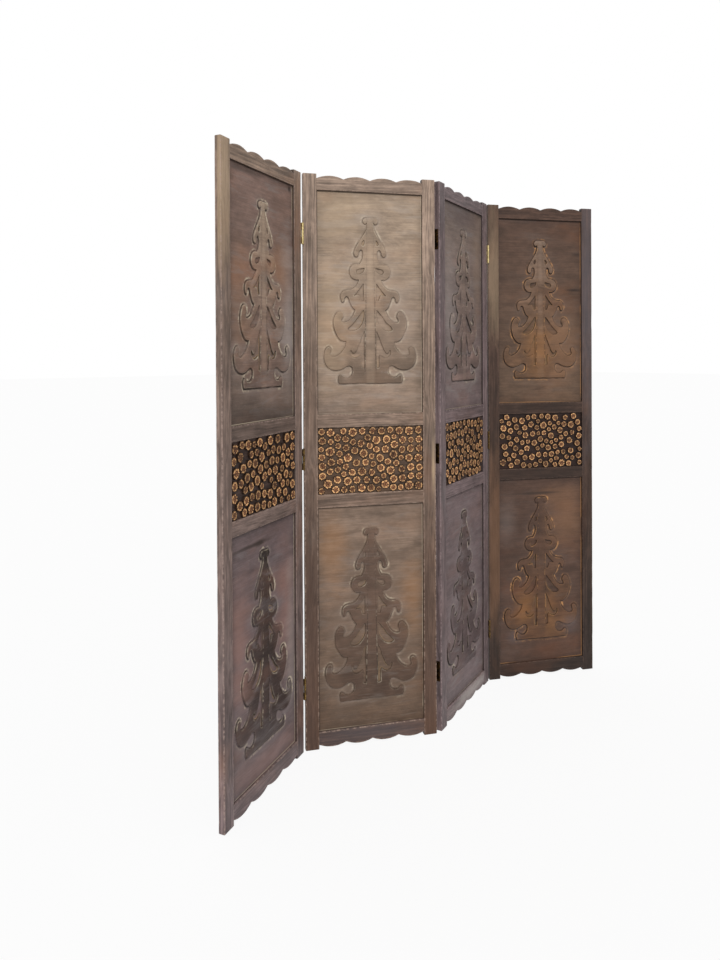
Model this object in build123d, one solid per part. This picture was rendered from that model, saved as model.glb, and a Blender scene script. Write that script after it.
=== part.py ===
"""Folding room divider of four framed leaves.

Each leaf is a mortise-and-tenon frame that holds two carved boards and, between
them, a band of branch slices glued to a backing board. Brass butt hinges join the
leaves, three to a joint. The divider stands in a zigzag on the ends of its stiles.

Frame: X runs along the screen from leaf 1 to leaf 4, the carved faces look to -Y,
and Z is up from the floor. A leaf is drawn flat first, with x across its width
from its left edge, y into its thickness from its front face, and z up.
"""

import math
import os
import random

from build123d import *

# Driving dimensions, in millimetres and degrees.
LEAF_WIDTH = 408.0
LEAF_HEIGHT = 1700.0
LEAF_THICKNESS = 18.0
LEAF_HEADINGS = (28.0, -24.4, 21.3, -25.3)  # direction of each leaf, from the X axis

STILE_WIDTH = 41.0
STILE_CHAMFER = 0.8
TOP_RAIL_HEIGHT = 44.0
MIDDLE_RAIL_HEIGHT = 40.0
BOTTOM_RAIL_HEIGHT = 47.0
RAIL_SETBACK = 4.0  # from the ends of the stiles to the crests of the scallops
SCALLOP_COUNT = 4
SCALLOP_DEPTH = 9.0
BAND_HEIGHT = 197.0  # opening that the branch slices fill

TENON_LENGTH = 25.0
TENON_SHOULDER = 6.0  # from a scalloped edge to its tenon
MORTISE_END_PLAY = 1.0
GROOVE_DEPTH = 8.0
GROOVE_PLAY = 0.1  # on each face of a board or tenon
BOARD_THICKNESS = 6.0
BOARD_RECESS = 7.0  # from the front of the frame to the face of a board
BOARD_EDGE_PLAY = 1.0  # room for a board to swell in its groove

TREE_RELIEF = 3.0
TREE_SIDE_MARGIN = 18.0
TREE_TOP_MARGIN = 72.0
TREE_BASE_MARGIN = 85.0
TREE_SLIT_WIDTH = 5.0
TREE_SLIT_HEIGHT = 95.0
TREE_SLIT_OFFSET = 22.0  # from the middle of the trunk to the middle of a slit
TREE_SLIT_BASE = 42.0

SLICES_PER_BAND = 36
SLICE_TRIES = 3000  # places tried before a band counts as full
SLICE_RADIUS_MIN = 10.0
SLICE_RADIUS_MAX = 14.5
SLICE_THICKNESS = 6.0
SLICE_SPACING = 0.8
SLICE_SIDES = 6

BARREL_DIAMETER = 7.0
BARREL_PLAY = 0.4  # from the face of a leaf to the barrel
HINGE_PLATE_THICKNESS = 1.5
HINGE_PLATE_PLAY = 0.6  # between the two plates of leaves in line
HINGE_PLATE_REACH = 17.5  # from the hinge axis to the far edge of a plate
HINGE_HEIGHT = 62.0
KNUCKLE_COUNT = 3
KNUCKLE_SIDES = 8
KNUCKLE_PLAY = 0.3
KNUCKLE_NOTCH_PLAY = 0.5
PIN_PLAY = 0.1
HINGE_TOP_INSET = 178.0
HINGE_FOOT_INSET = 185.0
HINGE_MIDDLE_RISE = 10.0  # of the middle hinge above mid-height

# Sizes that follow.
LEAF_COUNT = len(LEAF_HEADINGS)
OPENING_WIDTH = LEAF_WIDTH - 2 * STILE_WIDTH
RAILS_AND_BAND = TOP_RAIL_HEIGHT + 2 * MIDDLE_RAIL_HEIGHT + BOTTOM_RAIL_HEIGHT + BAND_HEIGHT
CARVED_HEIGHT = (LEAF_HEIGHT - 2 * RAIL_SETBACK - RAILS_AND_BAND) / 2
BARREL_RADIUS = BARREL_DIAMETER / 2
HINGE_GAP = 2 * HINGE_PLATE_THICKNESS + HINGE_PLATE_PLAY  # between leaves in line
PIN_STANDOFF = BARREL_RADIUS + BARREL_PLAY  # from the face of a leaf to the hinge axis
BORE_RADIUS = BARREL_RADIUS - HINGE_PLATE_THICKNESS
PIN_RADIUS = BORE_RADIUS - PIN_PLAY

# Levels of the openings and rails, from the floor up.
LOWER_OPENING = RAIL_SETBACK + BOTTOM_RAIL_HEIGHT
LOWER_MIDDLE_RAIL = LOWER_OPENING + CARVED_HEIGHT
BAND_OPENING = LOWER_MIDDLE_RAIL + MIDDLE_RAIL_HEIGHT
UPPER_MIDDLE_RAIL = BAND_OPENING + BAND_HEIGHT
UPPER_OPENING = UPPER_MIDDLE_RAIL + MIDDLE_RAIL_HEIGHT
TOP_RAIL = UPPER_OPENING + CARVED_HEIGHT

# Tenons as (bottom, top), clear of the grooves and of the scalloped edges.
TENON_SPANS = {
    "bottom_rail": (
        RAIL_SETBACK + SCALLOP_DEPTH + TENON_SHOULDER,
        LOWER_OPENING - GROOVE_DEPTH,
    ),
    "lower_middle_rail": (
        LOWER_MIDDLE_RAIL + GROOVE_DEPTH,
        BAND_OPENING - GROOVE_DEPTH,
    ),
    "upper_middle_rail": (
        UPPER_MIDDLE_RAIL + GROOVE_DEPTH,
        UPPER_OPENING - GROOVE_DEPTH,
    ),
    "top_rail": (
        TOP_RAIL + GROOVE_DEPTH,
        TOP_RAIL + TOP_RAIL_HEIGHT - SCALLOP_DEPTH - TENON_SHOULDER,
    ),
}

# The right half of the tree, from the top of its trunk down to its foot, as drawn
# on a board that it fills. A pair is the end of a straight cut. Two pairs are an
# arc, through the first to the second.
TREE_DRAWN_WIDTH = 286.0
TREE_DRAWN_HEIGHT = 499.0
TREE_CUTS = (
    ((17, 499),),  # cap with turned-down ends
    ((24, 493),),
    ((22, 479),),
    ((10, 479),),
    ((8, 468),),
    ((43, 405),),  # first bough
    ((46, 387),),
    ((36, 377),),
    ((25, 384),),
    ((18, 362),),  # second bough
    ((54, 356),),
    ((62, 340),),
    ((55, 318),),
    ((35, 312),),
    ((43, 290),),  # third bough
    ((67, 279),),
    ((83, 277),),
    ((91, 264),),
    ((81, 240),),
    ((68, 252),),
    ((49, 217),),
    ((53, 202),),  # fourth bough
    ((65, 186), (84, 181)),
    ((86, 209),),
    ((100, 206),),
    ((111, 167), (79, 123)),
    ((87, 98),),  # fifth bough
    ((117, 81),),
    ((124, 107),),
    ((137, 98),),
    ((140, 62), (110, 35)),
    ((57, 48),),
    ((55, 31),),  # foot
    ((93, 22),),
    ((98, 0),),
)


def block(x, y, z):
    """A box between the two values given on each axis."""
    size = (x[1] - x[0], y[1] - y[0], z[1] - z[0])
    corner = Location((x[0], y[0], z[0]))
    return corner * Box(*size, align=(Align.MIN, Align.MIN, Align.MIN))


def groove_depths(play=0.0):
    """Front and back of the grooves, or of what sits in them without play."""
    return (BOARD_RECESS - play, BOARD_RECESS + BOARD_THICKNESS + play)


def stile(side):
    """An upright of the frame, grooved and mortised along its inner edge."""
    outer = 0.0 if side == "left" else LEAF_WIDTH
    inward = 1.0 if side == "left" else -1.0
    inner = outer + inward * STILE_WIDTH
    upright = block(sorted((outer, inner)), (0.0, LEAF_THICKNESS), (0.0, LEAF_HEIGHT))
    upright = chamfer(upright.edges().filter_by(Axis.Z), STILE_CHAMFER)
    depths = groove_depths(GROOVE_PLAY)
    span = (
        TENON_SPANS["bottom_rail"][0] - GROOVE_PLAY,
        TENON_SPANS["top_rail"][1] + GROOVE_PLAY,
    )
    groove_floor = inner - inward * GROOVE_DEPTH
    upright -= block(sorted((groove_floor, inner)), depths, span)
    mortise_floor = inner - inward * (TENON_LENGTH + MORTISE_END_PLAY)
    for low, high in TENON_SPANS.values():
        height = (low - GROOVE_PLAY, high + GROOVE_PLAY)
        upright -= block(sorted((mortise_floor, inner)), depths, height)
    return upright


def tenoned(rail, name):
    """The rail with its tenon on each end."""
    length = (STILE_WIDTH - TENON_LENGTH, LEAF_WIDTH - STILE_WIDTH + TENON_LENGTH)
    return rail + block(length, groove_depths(), TENON_SPANS[name])


def rail_groove(edge, inward):
    """Groove along a rail's edge, cut up or down into the rail."""
    floor = edge + inward * GROOVE_DEPTH
    across = (STILE_WIDTH, LEAF_WIDTH - STILE_WIDTH)
    return block(across, groove_depths(GROOVE_PLAY), sorted((edge, floor)))


def scalloped_rail(name, straight, crest):
    """A rail with one straight edge, and scallops that rise to the crest's level."""
    outward = 1.0 if crest > straight else -1.0
    cusp = crest - outward * SCALLOP_DEPTH
    pitch = OPENING_WIDTH / SCALLOP_COUNT
    left = STILE_WIDTH
    right = LEAF_WIDTH - STILE_WIDTH
    outline = [Line((left, cusp), (left, straight)), Line((left, straight), (right, straight))]
    outline.append(Line((right, straight), (right, cusp)))
    for i in range(SCALLOP_COUNT):
        start = left + i * pitch
        ends = (start, cusp), (start + pitch, cusp)
        outline.append(ThreePointArc(ends[0], (start + pitch / 2, crest), ends[1]))
    face = Plane.XZ * make_face(Curve() + outline)
    rail = extrude(face, amount=LEAF_THICKNESS, dir=(0, 1, 0))
    return tenoned(rail - rail_groove(straight, outward), name)


def middle_rail(name, level):
    """A plain rail, grooved along both edges."""
    across = (STILE_WIDTH, LEAF_WIDTH - STILE_WIDTH)
    top = level + MIDDLE_RAIL_HEIGHT
    rail = block(across, (0.0, LEAF_THICKNESS), (level, top))
    rail -= rail_groove(level, 1.0)
    rail -= rail_groove(top, -1.0)
    return tenoned(rail, name)


def grooved_board(level, height):
    """A flat board that fills an opening and reaches into the grooves around it."""
    reach = GROOVE_DEPTH - BOARD_EDGE_PLAY
    across = (STILE_WIDTH - reach, LEAF_WIDTH - STILE_WIDTH + reach)
    return block(across, groove_depths(), (level - reach, level + height + reach))


def tree_face(level):
    """Silhouette of the scroll-boughed tree, in the middle of the opening at a level."""
    wide = (OPENING_WIDTH - 2 * TREE_SIDE_MARGIN) / TREE_DRAWN_WIDTH
    tall = (CARVED_HEIGHT - TREE_TOP_MARGIN - TREE_BASE_MARGIN) / TREE_DRAWN_HEIGHT
    middle = LEAF_WIDTH / 2
    foot = level + TREE_BASE_MARGIN
    summit = TREE_CUTS[0][-1][1]
    edges = []
    for side in (1.0, -1.0):
        here = (middle, foot + tall * summit)
        for cut in TREE_CUTS:
            points = [(middle + side * wide * x, foot + tall * z) for x, z in cut]
            if len(points) == 1:
                edges.append(Line(here, points[0]))
            else:
                edges.append(ThreePointArc(here, *points))
            here = points[-1]
        edges.append(Line(here, (middle, foot)))
    return Plane.XZ * make_face(Curve() + edges)


def carved_board(level):
    """A board with the tree standing up from it, its trunk parted by two slits."""
    tree = extrude(tree_face(level), amount=TREE_RELIEF, dir=(0, -1, 0))
    tree = Location((0, BOARD_RECESS, 0)) * tree
    depths = (BOARD_RECESS - TREE_RELIEF, BOARD_RECESS)
    foot = level + TREE_BASE_MARGIN + TREE_SLIT_BASE
    for side in (-1.0, 1.0):
        middle = LEAF_WIDTH / 2 + side * TREE_SLIT_OFFSET
        across = (middle - TREE_SLIT_WIDTH / 2, middle + TREE_SLIT_WIDTH / 2)
        tree -= block(across, depths, (foot, foot + TREE_SLIT_HEIGHT))
    return grooved_board(level, CARVED_HEIGHT) + tree


def slice_places(rng):
    """Centres and radii of the slices of one band, scattered without touching."""
    places = []
    for _ in range(SLICE_TRIES):
        if len(places) == SLICES_PER_BAND:
            break
        radius = rng.uniform(SLICE_RADIUS_MIN, SLICE_RADIUS_MAX)
        edge = radius + SLICE_SPACING
        x = rng.uniform(STILE_WIDTH + edge, LEAF_WIDTH - STILE_WIDTH - edge)
        z = rng.uniform(BAND_OPENING + edge, UPPER_MIDDLE_RAIL - edge)
        if all(math.dist((x, z), (a, b)) > edge + r for a, b, r in places):
            places.append((x, z, radius))
    return places


def branch_slices(leaf):
    """Discs sawn from branches of uneven section, face up on the backing board."""
    rng = random.Random(leaf)
    slices = []
    for x, z, radius in slice_places(rng):
        turn = rng.uniform(0.0, 360.0 / SLICE_SIDES)
        corners = []
        for side in range(SLICE_SIDES):
            angle = math.radians(turn + side * 360.0 / SLICE_SIDES)
            reach = radius * rng.uniform(0.88, 1.0)
            corners.append((x + reach * math.cos(angle), z + reach * math.sin(angle)))
        face = Plane.XZ * make_face(Polyline(*corners, close=True))
        disc = extrude(face, amount=SLICE_THICKNESS, dir=(0, -1, 0))
        slices.append(Location((0, BOARD_RECESS, 0)) * disc)
    return slices


def folds_forward(joint):
    """Whether the carved faces on both sides of a joint close on each other."""
    return LEAF_HEADINGS[joint] > LEAF_HEADINGS[joint + 1]


def axis_depth(joint):
    """The hinge axis stands before the leaves where they fold forward, or behind."""
    if folds_forward(joint):
        return -PIN_STANDOFF
    return LEAF_THICKNESS + PIN_STANDOFF


def hinge_levels():
    """Middle of each hinge of a joint."""
    return (
        HINGE_FOOT_INSET,
        LEAF_HEIGHT / 2 + HINGE_MIDDLE_RISE,
        LEAF_HEIGHT - HINGE_TOP_INSET,
    )


def knuckle_spans():
    """Bottom and top of each knuckle, from the bottom of the hinge."""
    height = (HINGE_HEIGHT - (KNUCKLE_COUNT - 1) * KNUCKLE_PLAY) / KNUCKLE_COUNT
    starts = [i * (height + KNUCKLE_PLAY) for i in range(KNUCKLE_COUNT)]
    return [(start, start + height) for start in starts]


def knuckle_section(reach):
    """Section of a rolled knuckle, or of its bore, out to the middles of its flats."""
    turn = 180 / KNUCKLE_SIDES
    return RegularPolygon(reach, KNUCKLE_SIDES, major_radius=False, rotation=turn)


def hinge_plate(joint, side, level):
    """One plate of a butt hinge, rolled into its knuckles, on a stile's end face.

    The plate of the leaf on the left has the first knuckle and every second one
    after it, and the plate on the right has those between.
    """
    inward = 1.0 if folds_forward(joint) else -1.0
    left = side == "left"
    axis_x = LEAF_WIDTH + HINGE_GAP / 2 if left else -HINGE_GAP / 2
    seat = LEAF_WIDTH if left else 0.0
    towards = 1.0 if left else -1.0
    axis = (axis_x, axis_depth(joint))
    foot = level - HINGE_HEIGHT / 2
    across = sorted((seat, seat + towards * HINGE_PLATE_THICKNESS))
    reach = sorted((axis[1], axis[1] + inward * HINGE_PLATE_REACH))
    plate = block(across, reach, (foot, foot + HINGE_HEIGHT))
    notch = BARREL_RADIUS + KNUCKLE_NOTCH_PLAY
    for i, (low, high) in enumerate(knuckle_spans()):
        own = (i % 2 == 0) == left
        if own:
            base = Location((*axis, foot + low))
            plate += base * extrude(knuckle_section(BARREL_RADIUS), high - low)
            plate -= base * extrude(knuckle_section(BORE_RADIUS), high - low)
        else:
            cleared = sorted((axis[1], axis[1] + inward * notch))
            room = (foot + low - KNUCKLE_PLAY, foot + high + KNUCKLE_PLAY)
            plate -= block(across, cleared, room)
    return plate


def hinge_pin(joint, level):
    """Plain pin through the knuckles of one hinge, in the left leaf's coordinates."""
    foot = hinge_axis(joint) + Vector(0, 0, level - HINGE_HEIGHT / 2)
    standing = (Align.CENTER, Align.CENTER, Align.MIN)
    return Location(foot) * Cylinder(PIN_RADIUS, HINGE_HEIGHT, align=standing)


def hinge_axis(joint):
    """Foot of a joint's hinge axis, in the coordinates of the leaf on its left."""
    return Vector(LEAF_WIDTH + HINGE_GAP / 2, axis_depth(joint))


def leaf_locations():
    """Where each leaf stands, leaf 1 first, with every pair meeting at its hinge axis."""
    x, y = 0.0, 0.0
    places = []
    for leaf, heading in enumerate(LEAF_HEADINGS):
        if leaf > 0:
            from_left = Vector(-HINGE_GAP / 2, axis_depth(leaf - 1)).rotate(Axis.Z, heading)
            x, y = axis.X - from_left.X, axis.Y - from_left.Y
        places.append(Location((x, y, 0), (0, 0, heading)))
        if leaf < LEAF_COUNT - 1:
            axis = Vector(x, y) + hinge_axis(leaf).rotate(Axis.Z, heading)
    return places


def leaf_pieces(leaf):
    """Named solids of one leaf, in its own coordinates."""
    return {
        "left_stile": [stile("left")],
        "right_stile": [stile("right")],
        "top_rail": [scalloped_rail("top_rail", TOP_RAIL, LEAF_HEIGHT - RAIL_SETBACK)],
        "upper_middle_rail": [middle_rail("upper_middle_rail", UPPER_MIDDLE_RAIL)],
        "lower_middle_rail": [middle_rail("lower_middle_rail", LOWER_MIDDLE_RAIL)],
        "bottom_rail": [scalloped_rail("bottom_rail", LOWER_OPENING, RAIL_SETBACK)],
        "upper_carved_board": [carved_board(UPPER_OPENING)],
        "lower_carved_board": [carved_board(LOWER_OPENING)],
        "backing_board": [grooved_board(BAND_OPENING, BAND_HEIGHT)],
        "branch_slices": branch_slices(leaf),
    }


def placed(location, solids):
    """The solids at a place, as one list of bare solids."""
    return [solid for piece in solids for solid in (location * piece).solids()]


def screen():
    """Every node of the divider with its solids, before it is centred."""
    places = leaf_locations()
    nodes = {}
    for leaf, place in enumerate(places):
        for name, solids in leaf_pieces(leaf + 1).items():
            nodes[f"leaf_{leaf + 1}_{name}"] = placed(place, solids)
    for joint in range(LEAF_COUNT - 1):
        name = f"hinge_{joint + 1}{joint + 2}"
        for side, place in zip(("left", "right"), places[joint : joint + 2]):
            plates = [hinge_plate(joint, side, level) for level in hinge_levels()]
            nodes[f"{name}_{side}_plates"] = placed(place, plates)
        pins = [hinge_pin(joint, level) for level in hinge_levels()]
        nodes[f"{name}_pins"] = placed(places[joint], pins)
    return nodes


def centring(nodes):
    """The move that brings the middle of the screen's footprint to the origin."""
    box = Compound([solid for solids in nodes.values() for solid in solids]).bounding_box()
    middle = box.center()
    return Location((-middle.X, -middle.Y, 0))


nodes = screen()
shift = centring(nodes)
for joint, place in enumerate(leaf_locations()[:-1]):
    foot = shift * place * Location(hinge_axis(joint))
    print(f"hinge axis {joint + 1}{joint + 2} at", foot.position)
os.makedirs("parts", exist_ok=True)
for node, solids in nodes.items():
    export_step(Compound(placed(shift, solids)), f"parts/{node}.step")
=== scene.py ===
"""Looks of the folding screen: worn frames, carved boards, branch slices and hinges.

Every leaf is modelled flat in its own coordinates, x across from its left edge,
y into its thickness from its front face and z up, all in metres. Its pieces then
stand where the frame has that leaf.
"""

import math
import random
from collections import namedtuple

import bmesh
import bpy
import numpy as np
from mathutils import Matrix, Vector, noise
from mathutils.geometry import delaunay_2d_cdt


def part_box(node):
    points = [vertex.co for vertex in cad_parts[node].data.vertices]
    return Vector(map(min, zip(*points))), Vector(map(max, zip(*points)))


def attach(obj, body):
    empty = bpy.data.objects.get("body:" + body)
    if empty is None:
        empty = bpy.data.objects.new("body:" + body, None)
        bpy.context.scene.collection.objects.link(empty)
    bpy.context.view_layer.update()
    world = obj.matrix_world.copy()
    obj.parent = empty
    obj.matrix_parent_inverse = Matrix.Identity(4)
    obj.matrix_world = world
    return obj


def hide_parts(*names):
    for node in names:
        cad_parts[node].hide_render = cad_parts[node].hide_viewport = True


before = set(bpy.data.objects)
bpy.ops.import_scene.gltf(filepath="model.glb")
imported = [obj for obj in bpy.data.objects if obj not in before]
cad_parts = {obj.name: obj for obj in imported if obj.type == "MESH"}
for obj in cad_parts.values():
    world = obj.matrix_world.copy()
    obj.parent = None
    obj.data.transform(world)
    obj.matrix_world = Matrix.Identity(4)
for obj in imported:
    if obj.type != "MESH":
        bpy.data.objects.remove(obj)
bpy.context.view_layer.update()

MM = 0.001
LEAF_HEADINGS = (28.0, -24.4, 21.3, -25.3)  # degrees from the X axis, as the frame has them


# ---------------------------------------------------------------- leaves

class Leaf:
    """One leaf of the frame, with its own coordinates."""

    def __init__(self, number, heading):
        self.number = number
        self.body = f"leaf_{number}"
        self.matrix = Matrix.Rotation(math.radians(heading), 4, "Z")
        self.matrix = self.matrix @ Matrix.Translation(self.box("left_stile")[0])
        self.left, self.thickness, _ = self.box("left_stile")[1]
        self.width = self.box("right_stile")[1].x
        self.right = self.width - self.left

    def node(self, name):
        return f"leaf_{self.number}_{name}"

    def box(self, name):
        """Lowest and highest corners of a CAD node in the leaf's coordinates."""
        back = self.matrix.inverted()
        points = [back @ v.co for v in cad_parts[self.node(name)].data.vertices]
        return [Vector(pick(p[axis] for p in points) for axis in range(3)) for pick in (min, max)]


HILLS_APART = (17.3, -9.1, 5.7)  # between the hills of one seed and of the next, in their widths


def hills(point, size, seed):
    """Smooth noise from -1 to 1, with hills about as wide as the size."""
    return noise.noise(Vector(p / size + seed * apart for p, apart in zip(point, HILLS_APART)))


def piece(name, points, faces, material, matrix, marks=None, crease=35.0):
    """A new object from points in the matrix's coordinates, with named values at its points."""
    mesh = bpy.data.meshes.new(name)
    mesh.from_pydata([tuple(matrix @ Vector(p)) for p in points], [], faces)
    mesh.validate()
    mesh.polygons.foreach_set("use_smooth", [True] * len(mesh.polygons))
    mesh.set_sharp_from_angle(angle=math.radians(crease))
    for mark, values in (marks or {}).items():
        kind, key = ("FLOAT_VECTOR", "vector") if np.ndim(values) == 2 else ("FLOAT", "value")
        layer = mesh.attributes.new(mark, kind, "POINT")
        layer.data.foreach_set(key, np.asarray(values, np.float32).ravel())
    mesh.materials.append(material)
    made = bpy.data.objects.new(name, mesh)
    bpy.context.scene.collection.objects.link(made)
    return made


def fitted(leaf, name, node, slot, points, faces, material, marks=None, crease=35.0):
    """Makes a piece of a leaf, on its body and in place of a CAD node."""
    made = piece(name, points, faces, material, leaf.matrix, marks, crease)
    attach(made, leaf.body)
    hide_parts(node)


# ---------------------------------------------------------------- shaders

def colour(*tones):
    """A colour written as the eye reads it, 0 to 255, as linear light."""
    shares = [tone / 255.0 for tone in tones]
    return (*(c / 12.92 if c <= 0.04045 else ((c + 0.055) / 1.055) ** 2.4 for c in shares), 1.0)


class Shader:
    """The nodes of a material or of the world, built call by call."""

    def __init__(self, owner):
        self.owner = owner
        owner.use_nodes = True
        self.tree = owner.node_tree
        self.tree.nodes.clear()

    def node(self, kind, inputs=None, output=0, **settings):
        """The output of a new node, with its inputs linked or set."""
        made = self.tree.nodes.new("ShaderNode" + kind)
        for key, value in settings.items():
            setattr(made, key, value)
        for key, value in (inputs or {}).items():
            if isinstance(value, bpy.types.NodeSocket):
                self.tree.links.new(value, made.inputs[key])
            else:
                made.inputs[key].default_value = value
        return made.outputs[output]

    def math(self, operation, a, b=0.0):
        return self.node("Math", {0: a, 1: b}, operation=operation)

    def plus(self, a, b):
        return self.math("ADD", a, b)

    def minus(self, a, b):
        return self.math("SUBTRACT", a, b)

    def times(self, product, *others):
        for other in others:
            product = self.math("MULTIPLY", product, other)
        return product

    def vector(self, operation, a, b=(0.0, 0.0, 0.0), output=0):
        return self.node("VectorMath", {0: a, 1: b}, output, operation=operation)

    def length(self, vector):
        return self.vector("LENGTH", vector, output=1)

    def joined(self, x=0.0, y=0.0, z=0.0):
        return self.node("CombineXYZ", {0: x, 1: y, 2: z})

    def parts(self, vector):
        return tuple(self.node("SeparateXYZ", {0: vector}).node.outputs)

    def ramp(self, value, low, high, to_low=0.0, to_high=1.0, kind="LINEAR"):
        """Goes from to_low to to_high as the value goes from low to high, and stays there."""
        inputs = {"Value": value, "From Min": low, "From Max": high,
                  "To Min": to_low, "To Max": to_high}
        return self.node("MapRange", inputs, interpolation_type=kind)

    def mask(self, *spans):
        """A ramp with smooth ends."""
        return self.ramp(*spans, kind="SMOOTHSTEP")

    def mix(self, factor, a, b, blend="MIX"):
        inputs = {0: factor, 6: a, 7: b}
        return self.node("Mix", inputs, output=2, data_type="RGBA", blend_type=blend)

    def toned(self, tone, level):
        """A tone made lighter or darker by a level."""
        grey = self.node("CombineColor", {0: level, 1: level, 2: level})
        return self.mix(1.0, tone, grey, "MULTIPLY")

    def noise(self, place, scale, seed, detail=3.0, rough=0.5, distortion=0.0):
        inputs = {"Vector": place, "W": seed, "Scale": scale, "Detail": detail,
                  "Roughness": rough, "Distortion": distortion}
        return self.node("TexNoise", inputs, noise_dimensions="4D")

    def mark(self, name, output=2):
        """A value that a piece has under this name at its points."""
        return self.node("Attribute", output=output, attribute_name=name)

    def shown(self, surface, kind="Material"):
        end = self.tree.nodes.new("ShaderNodeOutput" + kind)
        self.tree.links.new(surface, end.inputs["Surface"])
        return self.owner

    def finish(self, relief, strength, distance, **sockets):
        """The material, with its relief as bumps and the sockets of its surface by name."""
        bump = self.node("Bump", {"Height": relief, "Strength": strength, "Distance": distance})
        inputs = {key.replace("_", " "): value for key, value in sockets.items()}
        return self.shown(self.node("BsdfPrincipled", {**inputs, "Normal": bump}))


BARE_WOOD = colour(200, 165, 115)
# Near-black for pores, cut lines and grime, and for painted shade.
GRIME_AND_SHADE = colour(30, 22, 20)

# The tree on a board: its tones and their strengths at the foot and the cap, how strong its
# worn edges and painted highlights are and to what tone, the opening that its board fills (left,
# bottom, right, top), the middle of its trunk and the levels of its foot and cap.
Carving = namedtuple("Carving", "tones strengths rims rim_tone opening trunk foot cap")


def weighted(tone, factor, grey=0.0):
    """A colour made lighter or darker, and greyer."""
    level = 0.30 * tone[0] + 0.55 * tone[1] + 0.15 * tone[2]
    return tuple(min(1.0, factor * (c + (level - c) * grey)) for c in tone[:3]) + (1.0,)


FRONT_DEPTHS = (8.0 * MM, 12.0 * MM)  # between which the front's finish gives way to the back's


def wood(name, seed, along, matrix, stains, spread, rust, dust, blots=(), streaks=0.85,
         tree=None, behind=None):
    """Stained and waxed wood, in the coordinates of the matrix.

    along is the axis of the grain, stains the colours at the foot and the top of the
    spread, where a darker foot is partly painted shade, behind the back's own stain, and
    tree the Carving on a board. A blot is a darker, lighter or redder place on the front:
    its middle (x, z), its reach (x, z), its colour and its strength.
    """
    s = Shader(bpy.data.materials.new(name))
    back = matrix.inverted()
    inputs = {"Vector": s.node("TexCoord", output=3), "Location": back.translation,
              "Rotation": back.to_euler()}
    place = s.node("Mapping", inputs, vector_type="POINT")
    x, y, z = s.parts(place)
    front = s.mask(y, *FRONT_DEPTHS, 1.0, 0.0)
    usual = tuple((a + b) / 2 for a, b in zip(*stains))

    def grain(variant, ratio, scale, detail, rough=0.5, bend=None, distortion=0.0):
        """Noise drawn out along the grain, and bent where it is told to."""
        at = s.vector("MULTIPLY", place, tuple(ratio if a == along else 1.0 for a in "XYZ"))
        if bend is not None:
            at = s.vector("ADD", at, bend)
        return s.noise(at, scale, seed + variant, detail, rough, distortion)

    # A slow bend in the grain, so that no line in it is quite straight.
    sway = grain(11, 0.5, 5.0, 2.0)
    bend = s.vector("MULTIPLY", s.joined(sway, sway, sway), (0.05, 0.05, 0.05))
    broad = s.mask(grain(0, 0.4, 7.0, 5.0, 0.62), 0.32, 0.68)
    mottle = grain(2, 0.5, 42.0, 5.0, 0.66)
    figure = grain(3, 0.04, 75.0, 5.0, 0.62, bend)
    streak = grain(4, 0.03, 210.0, 3.0, 0.6, bend)
    fibre = grain(5, 0.018, 620.0, 2.0, 0.6)
    pores = s.mask(grain(7, 0.045, 430.0, 2.0, 0.7), 0.58, 0.72)
    rusty = s.mask(grain(21, 0.5, 7.0, 4.0, 0.55), 0.50, 0.74)
    dusty = grain(31, 0.3, 11.0, 6.0, 0.68)
    broken = s.noise(place, 90.0, seed + 41, 3.0, 0.6)

    # From the foot's stain to the top's: the wood's own stain, and painted shade where the foot is
    # darker.
    shade = s.mix(s.ramp(z, *spread), *stains)
    if behind is not None:
        shade = s.mix(front, behind, shade)
    if tree is not None:
        rise = s.ramp(z, tree.foot, tree.cap)
        strength = s.ramp(rise, 0.0, 1.0, *tree.strengths)
        shade = s.mix(s.times(s.mark("tree"), strength), shade, s.mix(rise, *tree.tones))
    clouds = 1.0 if tree is None else 0.65
    for value, darker, lighter in (
            (broad, 0.24 * clouds, 0.22 * clouds),
            (s.mask(mottle, 0.34, 0.66), 0.17, 0.15),
            (s.mask(figure, 0.36, 0.66), 0.26 * streaks, 0.22 * streaks),
            (s.mask(streak, 0.36, 0.64), 0.34 * streaks, 0.30 * streaks),
            (s.mask(fibre, 0.3, 0.7), 0.12, 0.10)):
        shade = s.toned(shade, s.ramp(value, 0.0, 1.0, 1.0 - darker, 1.0 + lighter))
    shade = s.mix(s.times(pores, 0.35 * streaks), shade, GRIME_AND_SHADE)

    red = tuple(a * b for a, b in zip(weighted(usual, 1.12), (1.30, 0.92, 0.66, 1.0)))
    shade = s.mix(s.times(rusty, rust), shade, red)
    pale = weighted(usual, 1.45, 0.55)
    shade = s.mix(s.times(s.mask(dusty, 0.50, 0.78), dust), shade, pale)
    if tree is not None:
        # Smears of wax and dust, and scratches.
        smear = grain(51, 0.25, 26.0, 5.0, 0.62, distortion=0.8)
        shade = s.mix(s.mask(smear, 0.53, 0.66, 0.0, dust), shade, pale)
        shade = s.mix(s.mask(smear, 0.47, 0.34, 0.0, 0.45), shade, weighted(usual, 0.55))
        scratch = s.mask(grain(52, 0.06, 190.0, 3.0, 0.6), 0.60, 0.68, 0.0, 0.6 * dust)
        shade = s.mix(scratch, shade, weighted(usual, 1.9, 0.5))

    for (middle_x, middle_z), (wide, tall), tone, strength in blots:
        across = s.math("DIVIDE", s.minus(x, middle_x), wide)
        up = s.math("DIVIDE", s.minus(z, middle_z), tall)
        ragged = s.plus(s.length(s.joined(across, up)), s.times(s.minus(dusty, 0.5), 2.6))
        blot = s.times(s.mask(ragged, 0.0, 1.2, strength, 0.0), front)
        shade = s.mix(blot, shade, colour(*tone))

    halo = s.times(s.mark("halo"), s.mask(dusty, 0.38, 0.62), 0.5)
    shade = s.mix(halo, shade, weighted(usual, 1.7, 0.4))
    relief = s.plus(s.times(fibre, 0.5), s.times(figure, 0.9))
    relief = s.minus(s.plus(relief, s.times(streak, 0.8)), s.times(pores, 0.6))
    if tree is not None:
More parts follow.
